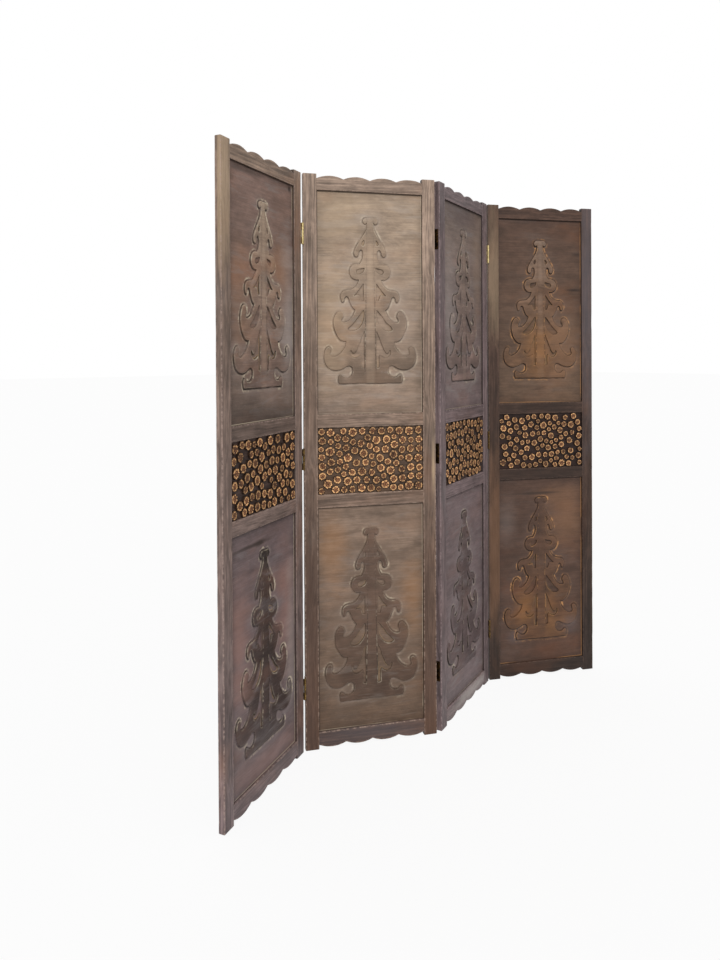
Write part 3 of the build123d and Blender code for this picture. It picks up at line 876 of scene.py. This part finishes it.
def branch_slices(leaf, material, seed, wanted, girth):
    """All slices of a band, with their bark's lobes, saw marks and checks."""
    rng = random.Random(seed)
    low = (leaf.left, leaf.box("lower_middle_rail")[1].z)
    high = (leaf.right, leaf.box("upper_middle_rail")[0].z)
    seat = leaf.box("backing_board")[0].y
    bed = seat + SLICE_SUNK
    angles = [math.tau * k / SLICE_SIDES for k in range(SLICE_SIDES)]
    rings = len(SLICE_RINGS) + len(SLICE_WALL)
    points, faces, disc, bark = [], [], [], []
    for a, b, radius in slice_places(rng, low, high, wanted, girth):
        lobes = rng.randint(8, 12)
        turn = rng.uniform(0, math.tau)
        oval = rng.uniform(0.0, 0.09)
        tone = rng.random()
        top = seat - rng.uniform(*SLICE_THICKNESS)
        tilt = (rng.uniform(-0.03, 0.03), rng.uniform(-0.03, 0.03))
        cup = rng.uniform(-0.2, 0.35) * MM
        jag = rng.uniform(0.10, 0.22)

        def reach(angle):
            lobe = abs(math.sin(lobes * (angle + turn) / 2)) ** 0.7
            wobble = hills((math.cos(angle), math.sin(angle), tone * 9), 0.45, seed)
            squash = oval * math.cos(angle - turn) ** 2
            return radius * min(1.0, 1 - jag + jag * lobe * (1 + wobble) - squash + 0.06 * wobble)

        start = len(points)
        points.append((a, top - cup, b))
        disc.append((0.0, 0.0, tone))
        bark.append(0.0)
        for fraction in SLICE_RINGS:
            for angle in angles:
                r = reach(angle) * fraction
                dx, dz = r * math.cos(angle), r * math.sin(angle)
                drop = 0.5 * MM * max(0.0, fraction - 0.93) / 0.07
                depth = top + tilt[0] * dx + tilt[1] * dz - cup * (1 - fraction ** 2)
                depth += drop + 0.12 * MM * hills((dx, dz, tone), 0.004, seed + 1)
                points.append((a + dx, depth, b + dz))
                disc.append((fraction * math.cos(angle), fraction * math.sin(angle), tone))
                bark.append(1.0 if fraction == 1.0 else 0.0)
        for level, flare in SLICE_WALL:
            for angle in angles:
                rough = 1.0 + 0.02 * hills((angle * 3, level, tone), 0.5, seed + 2)
                r = min(reach(angle) * flare * rough, radius + 0.4 * SLICE_GAP)
                depth = bed - (bed - top) * level
                points.append((a + r * math.cos(angle), depth, b + r * math.sin(angle)))
                disc.append((math.cos(angle), math.sin(angle), tone))
                bark.append(1.0)
        for k in range(SLICE_SIDES):
            n = (k + 1) % SLICE_SIDES
            faces.append((start, start + 1 + k, start + 1 + n))
            for ring in range(rings - 1):
                base = start + 1 + ring * SLICE_SIDES
                further = base + SLICE_SIDES
                faces.append((base + k, further + k, further + n, base + n))
        last = start + 1 + (rings - 1) * SLICE_SIDES
        faces.append(tuple(range(last, last + SLICE_SIDES))[::-1])
    node = leaf.node("branch_slices")
    fitted(leaf, node + "_sawn", node, f"branch_wood_{leaf.number}", points, faces, material,
           {"disc": np.array(disc), "bark": bark}, crease=48.0)


# ---------------------------------------------------------------- hinges

KNUCKLES = 3
KNUCKLE_SIDES = 28
BARREL_RADIUS = 3.5 * MM
KNUCKLE_EDGE = 0.35 * MM
KNUCKLE_PLAY = 0.3 * MM
KNUCKLE_ROOT = 0.5 * MM  # from the hinge axis to where a knuckle's plate starts
KNUCKLE_NOTCH = 4.0 * MM  # from the hinge axis to the plate beside the other's knuckle
PLATE_THICKNESS = 1.5 * MM
PLATE_REACH = 17.5 * MM  # from the hinge axis to the plate's far edge
PLATE_EDGE = 0.25 * MM
PLATE_LAP = 0.6 * MM
SCREW_RADIUS = 2.3 * MM
SCREW_FOOT = (1.1 * MM, -1.3 * MM)  # the radius and the level of its lower end
SLOT_HALF = 0.32 * MM  # of its width
SLOT_FLOOR = -0.35 * MM
SLOT_WALL = 0.4 * MM
SCREW_ROW = 12.0 * MM  # from the hinge axis
SCREWS_ASIDE = (0.0, 1.6 * MM, 0.0)  # of each screw from the row, from the foot up
SCREW_PROUD = 0.02 * MM
PIN_SIDES = 20
PIN_HEAD = ((1.2 * MM, 0.9 * MM), (2.3 * MM, 0.5 * MM), (2.5 * MM, 0.05 * MM), (1.9 * MM, 0.0))


def turned(profile, sides=KNUCKLE_SIDES):
    """A turned solid about Z through (radius, height) pairs, with flat ends."""
    points = [(r * math.cos(math.tau * k / sides), r * math.sin(math.tau * k / sides), h)
              for r, h in profile for k in range(sides)]
    return points, tube(len(profile), sides)


def softened_box(low, high, soft):
    """A box with all its edges cut back a little."""
    net = bmesh.new()
    middle = Matrix.Translation([(l + h) / 2 for l, h in zip(low, high)])
    size = Matrix.Diagonal((*(h - l for l, h in zip(low, high)), 1))
    bmesh.ops.create_cube(net, size=1.0, matrix=middle @ size)
    bmesh.ops.bevel(net, geom=net.edges[:], offset=soft, segments=2, profile=0.5, affect="EDGES")
    points = [tuple(v.co) for v in net.verts]
    faces = [tuple(v.index for v in f.verts) for f in net.faces]
    net.free()
    return points, faces


def gathered(parts):
    """One list of points and faces from several, each moved by its matrix."""
    points, faces = [], []
    for (part_points, part_faces), matrix in parts:
        start = len(points)
        points += [tuple(matrix @ Vector(p)) for p in part_points]
        faces += [tuple(start + i for i in f) for f in part_faces]
    return points, faces


def half_moon(radius, gap, depth, sides=12):
    """Half of a slotted screw's head, beside the slot."""
    reach = math.acos(gap / radius)
    angles = [-reach + 2 * reach * i / sides for i in range(sides + 1)]
    points = [(radius * math.cos(t), radius * math.sin(t), z) for z in (0.0, depth) for t in angles]
    return points, tube(2, len(angles))


def screw(turn):
    """A countersunk, slotted screw head, its top at the origin and looking along +Z."""
    seat = turned((SCREW_FOOT, (SCREW_RADIUS, SLOT_FLOOR)))
    moon = half_moon(SCREW_RADIUS, SLOT_HALF, SLOT_WALL)
    spin = Matrix.Rotation(turn, 4, "Z")
    lift = Matrix.Translation((0, 0, SLOT_FLOOR))
    return gathered([(seat, Matrix()), (moon, spin @ lift),
                     (moon, spin @ Matrix.Rotation(math.pi, 4, "Z") @ lift)])


def hinge_levels(pins):
    """Bottom and top of each hinge of a joint, read from its pins."""
    levels = sorted(set(round(v.co.z, 5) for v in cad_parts[pins].data.vertices))
    return list(zip(levels[0::2], levels[1::2]))


def hinge_plate(leaf, side, axis, low, high, rng):
    """The parts of one plate on a leaf's end face: plate, knuckles and screws."""
    inward = 1.0 if axis.y < leaf.thickness / 2 else -1.0
    out = 1.0 if side == "left" else -1.0
    seat = leaf.width if side == "left" else 0.0
    across = sorted((seat, seat + out * PLATE_THICKNESS))

    def strip(near, far, bottom, top):
        reach = sorted((axis.y + inward * near, axis.y + inward * far))
        corners = (across[0], reach[0], bottom), (across[1], reach[1], top)
        return softened_box(*corners, PLATE_EDGE), Matrix()

    parts = [strip(KNUCKLE_NOTCH, PLATE_REACH, low, high)]
    tall = (high - low - (KNUCKLES - 1) * KNUCKLE_PLAY) / KNUCKLES
    rim = BARREL_RADIUS - KNUCKLE_EDGE
    profile = ((rim, 0.0), (BARREL_RADIUS, KNUCKLE_EDGE),
               (BARREL_RADIUS, tall - KNUCKLE_EDGE), (rim, tall))
    for i in range(0 if side == "left" else 1, KNUCKLES, 2):
        start = low + i * (tall + KNUCKLE_PLAY)
        parts.append(strip(KNUCKLE_ROOT, KNUCKLE_NOTCH + PLATE_LAP, start, start + tall))
        parts.append((turned(profile), Matrix.Translation((axis.x, axis.y, start))))
    look = Matrix.Rotation(math.radians(90 * out), 4, "Y")
    for i, aside in enumerate(SCREWS_ASIDE):
        depth = axis.y + inward * (SCREW_ROW + aside)
        level = low + (high - low) * (i + 0.5) / len(SCREWS_ASIDE)
        spot = Matrix.Translation((seat + out * (PLATE_THICKNESS + SCREW_PROUD), depth, level))
        parts.append((screw(rng.uniform(0, math.pi)), spot @ look))
    return parts


def hinge(joint, left, right, material):
    """The plates, knuckles, pins and screws of one joint."""
    name = f"hinge_{left.number}{right.number}"
    spans = hinge_levels(name + "_pins")
    axis_world = pin_axis(name)
    for leaf, side in ((left, "left"), (right, "right")):
        axis = leaf.matrix.inverted() @ axis_world
        parts = []
        for low, high in spans:
            rng = random.Random(joint * 10 + round(low * 1000))
            parts += hinge_plate(leaf, side, axis, low, high, rng)
        fitted(leaf, f"{name}_{side}_brass", f"{name}_{side}_plates", "hinge_brass",
               *gathered(parts), material, crease=30.0)
    axis = left.matrix.inverted() @ axis_world
    pins = []
    for low, high in spans:
        foot = [(radius, -rise) for radius, rise in PIN_HEAD]
        top = [(radius, high - low + rise) for radius, rise in PIN_HEAD[::-1]]
        pins.append((turned(foot + top, PIN_SIDES), Matrix.Translation((axis.x, axis.y, low))))
    fitted(left, name + "_pins_brass", name + "_pins", "hinge_brass", *gathered(pins), material,
           crease=30.0)


def pin_axis(name):
    low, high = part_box(name + "_pins")
    return Vector(((low.x + high.x) / 2, (low.y + high.y) / 2, 0.0))


# ---------------------------------------------------------------- the screen

UPPER = (0.95, 1.68)
LOWER = (0.02, 0.74)
WHOLE = (0.0, 1.70)

# Tones of the wood's knots, streaks and patches.
DARK_STREAK = (50, 40, 35)
KNOT = (40, 30, 25)
REDDISH = (150, 110, 80)
ROSE = (150, 115, 105)
ORANGE = (160, 110, 60)
ASHEN = (165, 155, 150)
TAN = (185, 160, 130)
SLATE = (95, 90, 95)

# The wood's stains, from the palest to the darkest.
STRAW = (160, 140, 120)
SILVERED = (145, 125, 110)
FAWN = (130, 110, 95)
RUSSET = (125, 100, 90)
TAUPE = (110, 95, 85)
MAUVE = (105, 90, 90)
HONEY = (130, 90, 55)
COCOA = (95, 75, 60)
PLUM = (80, 65, 65)
UMBER = (80, 60, 50)
BOG_OAK = (60, 45, 40)
BLACKENED = (45, 35, 30)
WENGE = (40, 25, 20)

# Tones of the tree's worn edges and of its painted highlights.
CREAM = (215, 200, 175)
GILT = (205, 150, 95)

# How a leaf is stained and worn, and where shade and highlights are painted on it. Each pair of
# stains, or of a tree's tones and their strengths, is that at the foot and at the top; where a
# pair of stains is darker at the foot, that is partly painted shade. rims and rim_tone give the
# carving's worn edges and its painted highlights, and trench its grime and painted shadow in the
# channel. The upper board and its tree come before the lower ones. slices are their count,
# girth and lightness.
Leafing = namedtuple(
    "Leafing", "frame boards trees rust dust rims rim_tone cuts trench slices backing")
LEAFINGS = {
    1: Leafing(
        frame=(MAUVE, FAWN), boards=((TAUPE, RUSSET), (MAUVE, MAUVE)),
        trees=(((RUSSET, STRAW), (0.5, 0.9)), ((BOG_OAK, BLACKENED), (0.9, 1.0))),
        rust=0.6, dust=0.45, rims=1.0, rim_tone=CREAM, cuts=0.9, trench=1.2,
        slices=(72, 1.08, 1.15), backing=BOG_OAK),
    2: Leafing(
        frame=(UMBER, SILVERED), boards=((FAWN, STRAW), (COCOA, FAWN)),
        trees=(((COCOA, STRAW), (0.5, 0.2)), ((UMBER, UMBER), (0.6, 0.7))),
        rust=0.3, dust=0.3, rims=0.5, rim_tone=CREAM, cuts=0.3, trench=0.6,
        slices=(90, 1.04, 1.15), backing=COCOA),
    3: Leafing(
        frame=(MAUVE, MAUVE), boards=((MAUVE, TAUPE), (MAUVE, MAUVE)),
        trees=(((RUSSET, SILVERED), (0.6, 0.2)), ((PLUM, BOG_OAK), (0.8, 0.6))),
        rust=0.3, dust=0.5, rims=0.5, rim_tone=CREAM, cuts=0.2, trench=1.6,
        slices=(70, 1.08, 1.15), backing=BOG_OAK),
    4: Leafing(
        frame=(BLACKENED, UMBER), boards=((COCOA, UMBER), (UMBER, UMBER)),
        trees=(((HONEY, FAWN), (0.2, 0.7)), ((HONEY, BOG_OAK), (0.4, 0.3))),
        rust=0.6, dust=0.2, rims=0.7, rim_tone=GILT, cuts=0.3, trench=1.0,
        slices=(90, 0.92, 1.00), backing=WENGE),
}

# Knots, streaks and patches that stand out on a piece: middle, reach, colour, strength.
BLOTS = {
    (1, UPPER_BOARD): (
        ((0.35, 1.64), (0.010, 0.012), KNOT, 0.9),
        ((0.11, 1.64), (0.100, 0.012), DARK_STREAK, 0.6),
        ((0.31, 1.38), (0.090, 0.110), REDDISH, 0.5),
        ((0.09, 1.28), (0.070, 0.200), REDDISH, 0.3),
        # Painted sheen down the board's right side.
        ((0.35, 1.26), (0.060, 0.260), ASHEN, 0.6),
        ((0.20, 1.00), (0.300, 0.080), DARK_STREAK, 0.6),
    ),
    (1, LOWER_BOARD): (
        ((0.14, 0.67), (0.110, 0.006), DARK_STREAK, 0.8),
        ((0.18, 0.67), (0.030, 0.010), DARK_STREAK, 0.9),
        ((0.08, 0.42), (0.070, 0.200), ROSE, 0.6),
        ((0.32, 0.46), (0.080, 0.200), ROSE, 0.6),
        # Painted sheen down the board's right side.
        ((0.35, 0.35), (0.040, 0.300), ASHEN, 0.4),
        ((0.20, 0.08), (0.200, 0.060), ROSE, 0.4),
    ),
    (2, UPPER_BOARD): (
        ((0.10, 1.58), (0.110, 0.110), TAN, 0.3),
        ((0.08, 1.25), (0.070, 0.250), TAN, 0.3),
        ((0.30, 1.28), (0.070, 0.120), SILVERED, 0.5),
    ),
    (2, LOWER_BOARD): (
        ((0.08, 0.60), (0.050, 0.130), ORANGE, 0.3),
        ((0.34, 0.44), (0.050, 0.120), ORANGE, 0.3),
        ((0.25, 0.68), (0.120, 0.030), DARK_STREAK, 0.3),
    ),
    (3, UPPER_BOARD): (
        ((0.08, 1.32), (0.070, 0.220), ASHEN, 0.3),
        ((0.33, 1.45), (0.050, 0.200), FAWN, 0.5),
        ((0.20, 1.63), (0.200, 0.060), PLUM, 0.6),
    ),
    (4, UPPER_BOARD): (
        ((0.34, 1.40), (0.034, 0.007), KNOT, 0.9),
        ((0.35, 1.53), (0.026, 0.012), KNOT, 0.6),
        ((0.29, 1.28), (0.010, 0.011), KNOT, 0.6),
        ((0.28, 1.18), (0.110, 0.180), REDDISH, 0.3),
        ((0.19, 1.20), (0.060, 0.140), ORANGE, 0.3),
    ),
    (4, LOWER_BOARD): (
        ((0.14, 0.25), (0.050, 0.080), ORANGE, 0.3),
        ((0.24, 0.22), (0.030, 0.080), ORANGE, 0.2),
        ((0.30, 0.58), (0.110, 0.140), REDDISH, 0.35),
        ((0.32, 0.18), (0.040, 0.040), SLATE, 0.3),
        ((0.10, 0.14), (0.040, 0.030), SLATE, 0.3),
        ((0.07, 0.55), (0.050, 0.090), ASHEN, 0.12),
        ((0.20, 0.66), (0.090, 0.005), DARK_STREAK, 0.7),
    ),
    # Painted highlight: the top of the left stile paler.
    (1, "left_stile"): (((0.00, 1.60), (0.060, 0.300), TAN, 0.5),),
    (1, "upper_middle_rail"): (((0.20, 0.97), (0.400, 0.060), DARK_STREAK, 0.5),),
    (2, "left_stile"): (((0.00, 0.50), (0.080, 0.700), UMBER, 0.7),),
    (2, "right_stile"): (
        ((0.40, 0.83), (0.008, 0.140), TAN, 0.8),
        ((0.38, 0.30), (0.080, 0.500), UMBER, 0.5),
    ),
    (2, "bottom_rail"): (((0.20, 0.03), (0.300, 0.050), SLATE, 0.4),),
    # Painted highlight along the foot of the rail.
    (3, "bottom_rail"): (((0.22, 0.03), (0.200, 0.025), ASHEN, 0.6),),
    (4, "left_stile"): (
        ((0.02, 1.48), (0.050, 0.300), TAN, 0.3),
        ((0.02, 0.45), (0.060, 0.400), REDDISH, 0.3),
    ),
    (4, "right_stile"): (((0.39, 1.50), (0.080, 0.700), SLATE, 0.5),),
    (4, "lower_middle_rail"): (((0.20, 0.73), (0.400, 0.060), KNOT, 0.6),),
    (4, "upper_middle_rail"): (((0.20, 0.97), (0.400, 0.060), KNOT, 0.4),),
}
RAILS = ("top_rail", "upper_middle_rail", "lower_middle_rail", "bottom_rail")
# Of each joint's hinges: tarnished and worn brass, and how strong the top hinge's painted glint is.
BRASS_TONES = (
    ((75, 60, 40), (150, 120, 70), 0.9),
    # The middle joint's brass is darker all over: painted shade, as it sits in the shaded fold.
    ((30, 24, 18), (105, 75, 40), 0.0),
    ((75, 60, 40), (140, 110, 65), 0.9),
)


def pair(colours):
    return tuple(colour(*c) for c in colours)


def dress_leaf(leaf, net):
    n = leaf.number
    looks = LEAFINGS[n]

    def stained(place, seed, along, stains, spread=WHOLE, dust=looks.dust, **more):
        return wood(f"{place}_wood_{n}", 10.0 * n + seed, along, leaf.matrix, pair(stains), spread,
                    rust=looks.rust, dust=dust, blots=BLOTS.get((n, place), ()), **more)

    for i, side in enumerate(("left", "right")):
        material = stained(f"{side}_stile", i, "Z", looks.frame)
        stile_bar(leaf, side, material, 20 * n + i)
    for i, place in enumerate(RAILS):
        material = stained(place, 3 + i, "X", looks.frame)
        rail_bar(leaf, place, material, 20 * n + 5 + i)
    for i, (place, spread) in enumerate(((UPPER_BOARD, UPPER), (LOWER_BOARD, LOWER))):
        tones, strengths = looks.trees[i]
        bottom, top = opening_of(leaf, place)
        opening = (leaf.left, bottom, leaf.right, top)
        carving = Carving(pair(tones), strengths, looks.rims, colour(*looks.rim_tone), opening,
                          leaf.width / 2, *tree_levels(leaf, place))
        material = stained(place, 7.3 + i, "X", looks.boards[i], spread, tree=carving, streaks=0.16)
        carved_board(leaf, place, net, material, 20 * n + 11 + i, looks)
    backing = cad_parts[leaf.node("backing_board")]
    backing.data.materials.clear()
    behind = colour(*looks.boards[1][1])
    stains = (looks.backing, looks.backing)
    backing.data.materials.append(stained("backing", 9.1, "X", stains, dust=0.15, behind=behind))
    count, girth, light = looks.slices
    branch_slices(leaf, slice_wood(f"slice_wood_{n}", 3.0 * n, light), 40 + n, count, girth)


def board_net(leaf):
    """The carved face that all the boards share before each is warped."""
    low, high = leaf.box(LOWER_BOARD)
    foot = np.array((leaf.width / 2 - low.x, tree_levels(leaf, LOWER_BOARD)[0] - low.z))
    return carving_net(high.x - low.x, high.z - low.z, foot)


# ---------------------------------------------------------------- stage and camera

CAMERA_PLACE = (-1.5941, -1.7000, 1.1647)
CAMERA_HEADING = -38.328  # degrees, from looking along +Y
CAMERA_PITCH = 0.363  # degrees down
CAMERA_ROLL = -0.293
CAMERA_LENS = 27.51  # millimetres, on a sensor 36 mm tall
CAMERA_SHIFT = -0.1251
WHITE = (1.0, 1.0, 1.0, 1.0)
FLOOR_PAINT = (0.90, 0.90, 0.90, 1.0)
FLOOR_GLOW = 0.88  # share of its colour that the floor shows of itself
FLOOR_REACH = 40.0
AMBIENT = 0.54
KEY_STRENGTH = 1.9
KEY_SPREAD = 22.0
KEY_FROM = (-0.52, -0.72, 0.62)


def seen_rays(s):
    """One where a ray comes from the camera, a gloss or a clear body, and nought elsewhere."""
    rays = s.node("LightPath").node.outputs
    seen = s.math("MAXIMUM", rays["Is Camera Ray"], rays["Is Glossy Ray"])
    return s.math("MAXIMUM", seen, rays["Is Transmission Ray"])


def stage():
    world = bpy.data.worlds.new("studio")
    bpy.context.scene.world = world
    s = Shader(world)
    lighting = s.node("Background", {"Color": WHITE, "Strength": AMBIENT})
    white = s.node("Background", {"Color": WHITE, "Strength": 1.0})
    s.shown(s.node("MixShader", {0: seen_rays(s), 1: lighting, 2: white}), "World")

    size = FLOOR_REACH
    corners = [(-size, -size, 0.0), (size, -size, 0.0), (size, size, 0.0), (-size, size, 0.0)]
    s = Shader(bpy.data.materials.new("floor_paint"))
    pale = s.node("BsdfDiffuse", {"Color": FLOOR_PAINT})
    glow = s.node("Emission", {"Color": WHITE})
    paint = s.shown(s.node("MixShader", {0: s.times(seen_rays(s), FLOOR_GLOW), 1: pale, 2: glow}))
    floor = piece("floor", corners, [(0, 1, 2, 3)], paint, Matrix())

    lamp = bpy.data.lights.new("key", "SUN")
    lamp.energy = KEY_STRENGTH
    lamp.angle = math.radians(KEY_SPREAD)
    key = bpy.data.objects.new("key", lamp)
    key.rotation_mode = "QUATERNION"
    key.rotation_quaternion = Vector(KEY_FROM).to_track_quat("Z", "Y")
    bpy.context.scene.collection.objects.link(key)


def camera():
    lens = bpy.data.cameras.new("camera")
    lens.sensor_fit = "VERTICAL"
    lens.sensor_height = 36.0
    lens.lens = CAMERA_LENS
    lens.shift_y = CAMERA_SHIFT
    lens.clip_end = 200.0
    made = bpy.data.objects.new("camera", lens)
    level = Matrix.Rotation(math.radians(90.0 - CAMERA_PITCH), 4, "X")
    heading = Matrix.Rotation(math.radians(CAMERA_HEADING), 4, "Z")
    roll = Matrix.Rotation(math.radians(CAMERA_ROLL), 4, "Z")
    made.matrix_world = Matrix.Translation(CAMERA_PLACE) @ heading @ level @ roll
    bpy.context.scene.collection.objects.link(made)
    bpy.context.scene.camera = made


bpy.context.scene.view_settings.view_transform = "Standard"
camera()
stage()
leaves = [Leaf(i + 1, heading) for i, heading in enumerate(LEAF_HEADINGS)]
shared_net = board_net(leaves[0])
for leaf in leaves:
    dress_leaf(leaf, shared_net)
for joint, (left, right) in enumerate(zip(leaves, leaves[1:])):
    hinge(joint, left, right, brass(f"aged_brass_{left.number}{right.number}", *BRASS_TONES[joint]))
